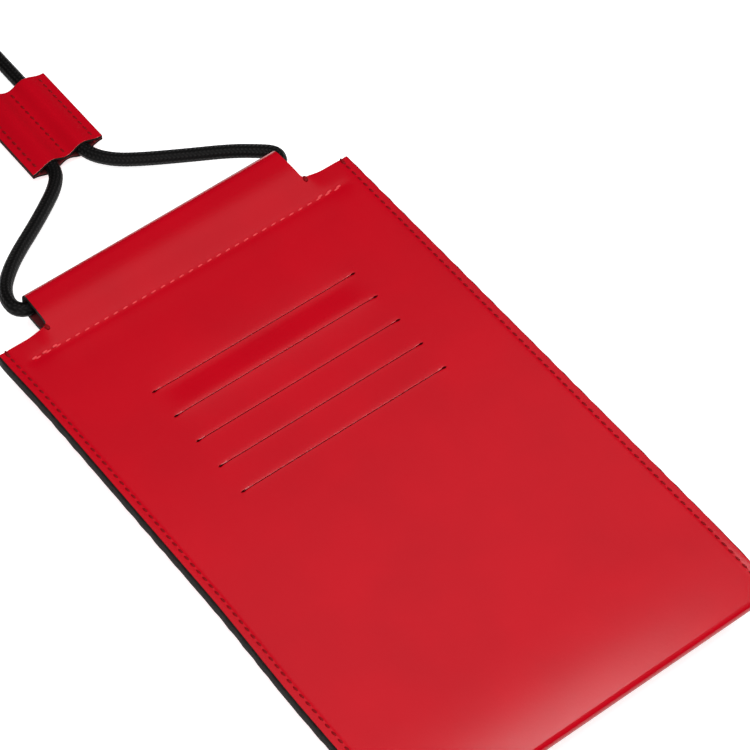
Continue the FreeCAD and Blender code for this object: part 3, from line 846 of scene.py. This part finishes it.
class POUCH_OT_lining(bpy.types.Operator):
    """Makes the lining and the five pocket sheets behind the slits"""
    bl_idname = "pouch.lining"
    bl_label = "Lining and pockets"

    def execute(self, context):
        settings = context.scene.pouch_cloth
        wall = context.scene.pouch_leather.wall + 0.05 * MM
        columns = spread([-half_width + 0.5 * MM, -flat_half - SIDE_SLOPE, -tab_half - 0.3 * MM, 0,
                          tab_half + 0.3 * MM, flat_half + SIDE_SLOPE, half_width - 0.5 * MM], 2 * MM)
        flap_y = mouth_y - FLAP_DEPTH - 0.3 * MM
        end_y = bottom_y + LINING_END
        slope_y = bottom_y + FOLD_BACK + BOTTOM_SLOPE + 3 * MM
        rows = [("back", y) for y in spread([mouth_y, slope_y], 8 * MM)]
        rows += [("slope", i / 6) for i in range(1, 7)]
        rows += [("turn", i / 6) for i in range(1, 6)]
        rows += [("front", y) for y in spread([end_y, flap_y, mouth_y], 6 * MM)]
        pocket_room = 0.75 * MM
        folded = 2 * settings.wall + 0.15 * MM
        step = 0.1 * MM

        def place(x, row):
            kind, where = row
            lean = (back_level(x + step) - back_level(x - step)) / (2 * step)
            low = back_level(x) + wall * math.hypot(1, lean)
            under = front_z - wall - pocket_room * swell(x)
            if kind == "back":
                return Vector((x, where, low))
            if kind == "front":
                return Vector((x, where, under - front_drop(where)))
            end_high = under - front_drop(end_y)
            end_low = max(end_high - folded, seam_back_z + wall)
            if kind == "slope":
                return Vector((x, mix(slope_y, end_y, where), mix(low, end_low, where)))
            angle = math.pi * where
            return Vector((x, end_y - folded / 2 * math.sin(angle),
                           mix(end_low, end_high, 0.5 - 0.5 * math.cos(angle))))

        bm = bmesh.new()
        mapped_grid(bm, columns, rows, place)
        at_flap = []
        for face in bm.faces:
            middle = face.calc_center_median()
            if middle.y > flap_y and middle.z > front_z / 2 and abs(middle.x) < tab_half:
                at_flap.append(face)
        bmesh.ops.delete(bm, geom=at_flap, context="FACES")
        cloth = shared_material("lining_cloth", cloth_material, "lining_cloth", settings.colour, 0.5 * MM)
        piece = new_piece("lining_sheet", bm, "pouch", [cloth])
        thicken(piece, settings.wall)
        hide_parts("lining")

        weave = shared_material("pocket_cloth", cloth_material, "pocket_cloth", settings.colour, 0.3 * MM)
        for number in range(1, 6):
            node = "card_pocket_%d" % number
            low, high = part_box(node)
            bm = bmesh.new()
            mapped_grid(bm, spread([low.x, high.x], 3 * MM), spread([low.y, high.y], 3 * MM),
                        lambda x, y: Vector((x, y, high.z)))
            sheet = new_piece("pocket_sheet_%d" % number, bm, "pouch", [weave])
            thicken(sheet, high.z - low.z)
            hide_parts(node)
        return {"FINISHED"}


# Stitches


def add_stitch(bm, centre, along, up, length, width, height):
    """A short length of thread that lies along the leather and goes down into it at both ends."""
    across = up.cross(along).normalized()
    turn = Matrix((across, up, along)).transposed().to_4x4()
    size = Matrix.Diagonal((width / 2, height / 2, length / 2, 1))
    bmesh.ops.create_uvsphere(bm, u_segments=8, v_segments=7, radius=1, calc_uvs=True,
                              matrix=Matrix.Translation(centre) @ turn @ size)


def stitch_mesh():
    bm = bmesh.new()
    bm.loops.layers.uv.new("UVMap")
    return bm


def add_row(bm, start, end, up, thread, pitch, level, slant=0.0, slim=1.0):
    """A row of stitches from start to end: level(point) moves each one onto the leather."""
    count = max(round((end - start).length / pitch), 1)
    step = (end - start) / count
    lean = Matrix.Rotation(slant, 3, up)
    for i in range(count):
        centre = level(start + step * (i + 0.5))
        ahead = level(start + step * (i + 0.6)) - level(start + step * (i + 0.4))
        along = (lean @ ahead).normalized()
        lift = along.cross(up.cross(along)).normalized()
        add_stitch(bm, centre, along, lift, thread.length, thread.width * slim, thread.width * 0.8)


def on_front(thread):
    def level(point):
        x = point.x + side_bow(point.x, point.y)
        return Vector((x, point.y, front_height(point.x, point.y, thread.groove)))

    return level


class POUCH_OT_stitches(bpy.types.Operator):
    """Sews the two side seams, the row below the tab and the tack at each end of the tab"""
    bl_idname = "pouch.stitches"
    bl_label = "Stitches"

    def execute(self, context):
        thread = context.scene.pouch_thread
        seam_thread = shared_material("red_thread", thread_material, "red_thread", thread.seam_colour)
        row_thread = shared_material("coral_thread", thread_material, "coral_thread", thread.row_colour)
        front = on_front(thread)
        ahead = Vector((0, 1, 0))

        def back(point):
            return Vector((point.x + side_bow(point.x, point.y), point.y, seam_back_z + thread.groove))

        for name, side in (("left", -1), ("right", 1)):
            bm = stitch_mesh()
            x = side * seam_x
            start = Vector((x, bottom_y + SEAM_LOW_END, 0))
            end = Vector((x, seam_high.y, 0))
            add_row(bm, start, end, UP, thread, thread.pitch, front, SEAM_SLANT)
            add_row(bm, start, end, -UP, thread, thread.pitch, back, SEAM_SLANT)
            # The row ends with a thread that goes over the edge of the mouth
            stack = front_z - seam_back_z
            end_x = x + side_bow(x, mouth_y)
            add_stitch(bm, Vector((end_x, mouth_y - 0.05 * MM, seam_back_z + stack / 2)), UP, ahead,
                       stack + 0.9 * MM, 1.6 * thread.width, 1.4 * thread.width)
            add_stitch(bm, front(Vector((x, mouth_y - 0.9 * MM, 0))), ahead, UP,
                       2.2 * MM, 1.6 * thread.width, 1.2 * thread.width)
            piece = new_piece("side_stitches_" + name, bm, "pouch", [seam_thread])
            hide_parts("side_seam_" + name)

            # A tack lies on the front below the tab's end, and goes down over the edge
            bm = stitch_mesh()
            x = side * (tab_half + 0.5 * MM)
            way = Vector((0.15 * side, 1, 0)).normalized()
            size = (2.0 * MM, 1.9 * thread.width, 1.4 * thread.width)
            add_stitch(bm, front(Vector((x, mouth_y - 0.5 * MM, 0))), way, UP, *size)
            add_stitch(bm, Vector((x, mouth_y + 0.3 * MM, front_z - 0.5 * MM)), UP, ahead, *size)
            piece = new_piece("tack_stitches_" + name, bm, "pouch", [seam_thread])
            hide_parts("tab_tack_" + name)

        bm = stitch_mesh()
        low_x = row_low.x + ROW_SHIFT
        high_x = row_high.x + ROW_SHIFT
        add_row(bm, Vector((low_x, row_line(low_x), 0)), Vector((high_x, row_line(high_x), 0)), UP, thread,
                thread.row_pitch, front, ROW_SLANT, ROW_SLIM)
        # Three stitches at each end are sewn twice
        way = Vector((1, 0.12, 0)).normalized()
        for x, side in ((low_x, 1), (high_x, -1)):
            for i in range(3):
                x_stitch = x + side * thread.row_pitch * (i + 0.2)
                spot = front(Vector((x_stitch, row_line(x_stitch) + 0.35 * MM, 0)))
                add_stitch(bm, spot + UP * 0.12 * MM, way, UP,
                           thread.length, thread.width, 0.8 * thread.width)
        piece = new_piece("tunnel_stitches", bm, "pouch", [row_thread])
        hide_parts("tunnel_seam")
        return {"FINISHED"}


# Slider


def slider_height(across, wall):
    """Height of a slider leather's face over the plane between the two, with a hump over each strand."""
    off = abs(across) - STRAND_HALF
    reach = slider_half + SLIDER_LEFT - STRAND_HALF if off > 0 else STRAND_HALF
    top = slider_high.z - slider_z - SLIDER_FLATTER
    return mix(wall, top, 0.5 + 0.5 * math.cos(math.pi * clamp(abs(off) / reach)))


def slider_place(across, y):
    """Place along Y of a point on the slider, whose lower end is cut askew."""
    return y + SLIDER_SLANT * across * clamp((slider_high.y - y) / (slider_high.y - slider_low.y))


class POUCH_OT_slider(bpy.types.Operator):
    """Makes the slider's two leathers and the three rows of stitches that hold them together"""
    bl_idname = "pouch.slider"
    bl_label = "Slider"

    def execute(self, context):
        settings = context.scene.pouch_leather
        thread = context.scene.pouch_thread
        wall = settings.slider_wall
        columns = spread([-slider_half - SLIDER_LEFT, slider_half + SLIDER_RIGHT], 0.6 * MM)
        low_y = slider_low.y + SLIDER_LOW_END
        rows = spread([low_y, slider_high.y], 1.5 * MM)
        for name, up in (("front", 1), ("back", -1)):
            def place(x, y):
                return Vector((slider_x + x, slider_place(x, y), slider_z + up * slider_height(x, wall)))

            bm = bmesh.new()
            mapped_grid(bm, columns[::up], rows, place)
            piece = new_piece("slider_leather_" + name, bm, "slider", leather_set(settings))
            thicken(piece, wall - SLIDER_GAP, None, SLIDER_ROUNDING)
            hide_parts("slider_" + name)
        seam_thread = shared_material("red_thread", thread_material, "red_thread", thread.seam_colour)
        for name in ("left", "middle", "right"):
            low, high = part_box("slider_seam_" + name)
            across = ((low.x + high.x) / 2 - slider_x) * SLIDER_ROW_SHARE
            x = slider_x + across
            height = slider_height(across, wall)
            bm = stitch_mesh()
            for up in (1, -1):
                z = slider_z + up * height
                start = Vector((x, low.y + SLIDER_LOW_END, z))
                add_row(bm, start, Vector((x, high.y, z)), UP * up, thread, thread.pitch,
                        lambda point: Vector((x, slider_place(across, point.y), z)), SEAM_SLANT)
            for y, ahead in ((low_y, -1), (slider_high.y, 1)):
                spot = Vector((x, slider_place(across, y - SLIDER_WRAP_INSET * ahead), slider_z))
                add_stitch(bm, spot, UP, Vector((0, ahead, 0)),
                           2 * height - 0.2 * MM, thread.width, thread.width)
            piece = new_piece("slider_stitches_" + name, bm, "slider", [seam_thread])
            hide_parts("slider_seam_" + name)
        return {"FINISHED"}


# Cord


def mm_point(x, above_mouth, z):
    """A point from millimetres, with its place along Y counted from the mouth."""
    return Vector((x * MM, mouth_y + above_mouth * MM, z * MM))


def right_route():
    """From the tunnel's right end, back round the tab and through the slider to the coil."""
    return [
        Vector((tunnel_high.x, roll_y, roll_z)),
        mm_point(36.0, 10.1, 9.55),
        mm_point(38.6, 10.1, 9.55),
        mm_point(40.5, 12.0, 9.5),
        mm_point(40.5, 14.6, 9.4),
        mm_point(38.6, 17.0, 9.0),
        mm_point(32.6, 22.9, 7.9),
        mm_point(23.1, 29.9, 6.3),
        mm_point(13.6, 37.0, 4.9),
        mm_point(8.4, 41.8, 4.0),
        mm_point(4.7, 47.6, 3.5),
        Vector((slider_x + STRAND_HALF, mouth_y + 54 * MM, slider_z)),
        Vector((slider_x + STRAND_HALF, mouth_y + 110 * MM, slider_z)),
        Vector((slider_x + STRAND_HALF, mouth_y + 128 * MM, LYING_CORD_Z)),
    ]


def left_route():
    """From the tunnel's left end, up through the slider and round to the top of the coil."""
    return [
        Vector((tunnel_low.x, roll_y, roll_z)),
        mm_point(-36.2, 10.1, 9.55),
        mm_point(-38.8, 10.1, 9.55),
        mm_point(-40.7, 12.0, 9.5),
        mm_point(-40.9, 14.7, 9.4),
        mm_point(-40.0, 17.7, 9.0),
        mm_point(-37.8, 21.1, 8.4),
        mm_point(-33.6, 25.2, 7.7),
        mm_point(-28.3, 29.3, 6.7),
        mm_point(-21.8, 33.6, 5.7),
        mm_point(-14.5, 38.8, 4.6),
        mm_point(-8.8, 43.2, 3.9),
        mm_point(-5.4, 47.6, 3.5),
        Vector((slider_x - STRAND_HALF, mouth_y + 54 * MM, slider_z)),
        Vector((slider_x - STRAND_HALF, mouth_y + 100 * MM, slider_z)),
        Vector((slider_x - STRAND_HALF, mouth_y + 107.6 * MM, slider_z)),
        mm_point(-8.4, 114.6, 5.0),
    ]


def coil_route():
    """Points of the coil: it spirals in, climbs one layer and spirals out again."""
    outer = 27.9 * MM
    pitch = 4.1 * MM
    layer = 4.1 * MM
    turns_in = 3.5
    climb = 0.5
    turns = 7.7
    lead = 19.5 * MM
    centre = Vector((slider_x + STRAND_HALF - outer, mouth_y + 153 * MM, 0))
    points_a_turn = 14
    inset = math.cos(math.pi / points_a_turn)
    reverse = turns_in + climb / 2
    inner = outer - pitch * reverse

    def spot(turn):
        radius = (inner + pitch * abs(turn - reverse)) / inset
        angle = 2 * math.pi * turn
        z = LYING_CORD_Z + layer * clamp((turn - turns_in) / climb)
        return centre + Vector((radius * math.cos(angle), radius * math.sin(angle), z))

    count = round(turns * points_a_turn)
    points = [spot(turns * i / count) for i in range(count + 1)]
    end = 2 * math.pi * turns
    ahead = Vector((-math.sin(end), math.cos(end), 0))
    return points + [points[-1] + ahead * lead]


def spline_points(name, points):
    """Points along a smooth spline that has the route's points as its control points."""
    curve = bpy.data.curves.new(name, "CURVE")
    curve.dimensions = "3D"
    spline = curve.splines.new("NURBS")
    spline.points.add(len(points) - 1)
    for spot, point in zip(spline.points, points):
        spot.co = (*point, 1)
    spline.order_u = 3
    spline.use_endpoint_u = True
    spline.resolution_u = 160
    line = bpy.data.objects.new(name, curve)
    mesh = bpy.data.meshes.new_from_object(line)
    found = [vert.co.copy() for vert in mesh.vertices]
    bpy.data.objects.remove(line)
    bpy.data.curves.remove(curve)
    bpy.data.meshes.remove(mesh)
    return found


def thinned(points, step_at):
    """Points at least their step apart, with the first and the last among them."""
    kept = [points[0]]
    for point in points[1:]:
        if (point - kept[-1]).length >= step_at(point):
            kept.append(point)
    kept[-1] = points[-1]
    return kept


def braided_tube(bm, points, settings):
    """A round braid along the points, with columns of plaits and a map round it and along it."""
    around = zip(points[:1] + points, points[1:] + points[-1:])
    ways = [(after - before).normalized() for before, after in around]
    sides = settings.columns * 2
    across = ways[0].cross(UP).normalized()
    rings = []
    far = 0.0
    for i, (point, way) in enumerate(zip(points, ways)):
        if i:
            across = ways[i - 1].rotation_difference(way) @ across
            far += (point - points[i - 1]).length
        across = (across - way * across.dot(way)).normalized()
        rings.append((point, across.copy(), way.cross(across), far))

    def place(side, ring):
        point, across, up, far = ring
        column = side // 2
        angle = 2 * math.pi * side / sides
        bulge = 0.5 + 0.5 * math.cos(2 * math.pi * (far / settings.plait + column / 2))
        depth = settings.relief * (1.0 if side % 2 else 0.35 * (1 - bulge))
        return point + (across * math.cos(angle) + up * math.sin(angle)) * (settings.diameter / 2 - depth)

    verts = mapped_grid(bm, list(range(sides + 1)), rings, place)
    layer = bm.loops.layers.uv.new("UVMap")
    for (side, ring), vert in verts.items():
        for loop in vert.link_loops:
            loop[layer].uv = (side / sides, rings[ring][3])
    close_tube(bm)


class POUCH_OT_neck_cord(bpy.types.Operator):
    """Makes the neck cord, its ends in the tunnel, the sleeve over their joint and the band round its coil"""
    bl_idname = "pouch.neck_cord"
    bl_label = "Neck cord"

    def execute(self, context):
        settings = context.scene.pouch_cord
        braid = shared_material("black_cord", cord_material, settings)
        route = right_route() + coil_route() + left_route()[::-1]
        points = thinned(spline_points("cord_line", route),
                         lambda point: COIL_STEP if point.y > mouth_y + COIL_BEGIN else STRAND_STEP)
        bm = bmesh.new()
        braided_tube(bm, points, settings)
        cord = new_piece("neck_cord", bm, "pouch", [braid])
        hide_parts("cord_right_strand", "cord_coil", "cord_left_strand")

        bm = bmesh.new()
        ends = [Vector((x, roll_y, roll_z)) for x in (tunnel_low.x, -10 * MM, 10 * MM, tunnel_high.x)]
        braided_tube(bm, thinned(spline_points("tunnel_line", ends), lambda point: STRAND_STEP), settings)
        inner = new_piece("tunnel_cord", bm, "pouch", [braid])
        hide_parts("cord_in_tunnel")

        low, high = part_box("cord_splice")
        outer = (high.z - low.z) / 2
        bore = settings.diameter / 2 + 0.01 * MM
        rounding = 0.5 * MM
        sides = 32
        bm = bmesh.new()

        def sleeve(turn, mark):
            x, level = mark
            angle = 2 * math.pi * turn / sides
            radius = mix(bore, outer, level)
            return Vector((x, roll_y + radius * math.cos(angle), roll_z + radius * math.sin(angle)))

        marks = [(low.x, 0), (low.x, 0.6), (low.x + rounding, 1)]
        marks += [(x, 1) for x in spread([low.x + 2 * rounding, high.x - 2 * rounding], 2 * MM)]
        marks += [(high.x - rounding, 1), (high.x, 0.6), (high.x, 0), (low.x, 0)]
        mapped_grid(bm, list(range(sides + 1)), marks, sleeve)
        close_tube(bm)
        splice = new_piece("splice_sleeve", bm, "pouch", [shared_material("splice_sleeve", sleeve_material)])
        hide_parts("cord_splice")

        bm = bmesh.new()
        middle = (tie_low + tie_high) / 2
        reach = (tie_high - tie_low) / 2
        half_thick = 0.25 * MM
        around = 48
        rims = 12

        def band(turn, rim):
            angle = 2 * math.pi * turn / around
            lean = 2 * math.pi * rim / rims
            grow = half_thick * (math.cos(lean) - 1)
            x = boxed(math.sin(lean), 0.5) * reach.x
            y = boxed(math.cos(angle), 0.35) * (reach.y + grow)
            z = boxed(math.sin(angle), 0.35) * (reach.z + grow)
            return middle + Vector((x, y, z))

        mapped_grid(bm, list(range(around + 1)), list(range(rims + 1)), band)
        close_tube(bm)
        cloth = shared_material("tie_band", cloth_material, "tie_band", settings.colour, 0.4 * MM)
        tie = new_piece("coil_band", bm, "pouch", [cloth])
        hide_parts("coil_tie")

        return {"FINISHED"}


# Stage


def floor_material(colour):
    """Pale floor that keeps its shadow and is white to the camera, and in what mirrors it."""
    material, tree, shader = new_material("floor")
    rays = add_node(tree, "ShaderNodeLightPath", {}).outputs
    mirrored = combine(tree, "MAXIMUM", rays["Is Glossy Ray"], rays["Is Transmission Ray"])
    seen = combine(tree, "MAXIMUM", rays["Is Camera Ray"], mirrored)
    uneven = noise(tree, object_place(tree), 40 * MM)
    set_inputs(tree, shader, {
        "Base Color": mottled(tree, uneven, colour, 0.98, 1.02),
        "Roughness": 1.0,
        "Specular IOR Level": 0.0,
        "Emission Color": (1, 1, 1, 1),
        "Emission Strength": combine(tree, "MULTIPLY", seen, FLOOR_GLOW),
    })
    return material


def add_lamp(name, width, low_y, high_y, centre_x, height, power):
    """A lamp that faces down, between two places along Y."""
    lamp = bpy.data.lights.new(name, "AREA")
    lamp.shape = "RECTANGLE"
    lamp.size = width
    lamp.size_y = high_y - low_y
    lamp.energy = power
    holder = bpy.data.objects.new(name, lamp)
    holder.location = (centre_x, (low_y + high_y) / 2, height)
    bpy.context.scene.collection.objects.link(holder)


class POUCH_OT_stage(bpy.types.Operator):
    """Sets the floor, the lamps, the surroundings and the camera"""
    bl_idname = "pouch.stage"
    bl_label = "Stage"

    def execute(self, context):
        settings = context.scene.pouch_stage
        scene = context.scene
        bm = bmesh.new()
        bmesh.ops.create_grid(bm, x_segments=8, y_segments=8, size=FLOOR_HALF)
        mesh = bpy.data.meshes.new("floor")
        bm.to_mesh(mesh)
        bm.free()
        mesh.materials.append(floor_material(settings.floor_colour))
        floor = bpy.data.objects.new("floor", mesh)
        scene.collection.objects.link(floor)

        powers = {
            "key_lamp": settings.key_power,
            "near_panel": settings.panel_power,
            "far_panel": settings.panel_power * FAR_PANEL_SHARE,
            "left_fill": settings.fill_power,
            "right_fill": settings.fill_power * RIGHT_FILL_SHARE,
        }
        for name, place in LAMPS.items():
            add_lamp(name, *place, powers[name])

        world = bpy.data.worlds.new("surroundings")
        world.use_nodes = True
        background = world.node_tree.nodes["Background"]
        background.inputs["Color"].default_value = (1, 1, 1, 1)
        background.inputs["Strength"].default_value = SURROUNDINGS_GLOW
        scene.world = world
        scene.view_settings.view_transform = "Standard"

        camera = bpy.data.cameras.new("camera")
        camera.lens = settings.lens
        camera.sensor_width = 36
        camera.clip_start = 0.05
        holder = bpy.data.objects.new("camera", camera)
        eye = Vector(settings.eye)
        holder.location = eye
        holder.rotation_euler = (Vector(settings.target) - eye).to_track_quat("-Z", "Y").to_euler()
        scene.collection.objects.link(holder)
        scene.camera = holder
        return {"FINISHED"}


class POUCH_PT_panel(bpy.types.Panel):
    bl_label = "Phone pouch"
    bl_idname = "POUCH_PT_panel"
    bl_space_type = "VIEW_3D"
    bl_region_type = "UI"
    bl_category = "Pouch"

    def draw(self, context):
        for name in SETTINGS:
            box = self.layout.box()
            group = getattr(context.scene, name)
            for field in group.__annotations__:
                box.prop(group, field)
        for operator in OPERATORS:
            self.layout.operator(operator.bl_idname)


SETTINGS = {"pouch_leather": LeatherSettings, "pouch_thread": ThreadSettings, "pouch_cord": CordSettings,
            "pouch_cloth": ClothSettings, "pouch_stage": StageSettings}
OPERATORS = [POUCH_OT_leather_body, POUCH_OT_painted_edges, POUCH_OT_lining, POUCH_OT_stitches,
             POUCH_OT_slider, POUCH_OT_neck_cord, POUCH_OT_stage]


def register():
    for name, group in SETTINGS.items():
        bpy.utils.register_class(group)
        setattr(bpy.types.Scene, name, bpy.props.PointerProperty(type=group))
    for operator in OPERATORS:
        bpy.utils.register_class(operator)
    bpy.utils.register_class(POUCH_PT_panel)


def unregister():
    bpy.utils.unregister_class(POUCH_PT_panel)
    for operator in reversed(OPERATORS):
        bpy.utils.unregister_class(operator)
    for name, group in reversed(SETTINGS.items()):
        delattr(bpy.types.Scene, name)
        bpy.utils.unregister_class(group)


def main():
    register()
    bpy.ops.pouch.leather_body()
    bpy.ops.pouch.painted_edges()
    bpy.ops.pouch.lining()
    bpy.ops.pouch.stitches()
    bpy.ops.pouch.slider()
    bpy.ops.pouch.neck_cord()
    bpy.ops.pouch.stage()


if __name__ == "__main__":
    main()
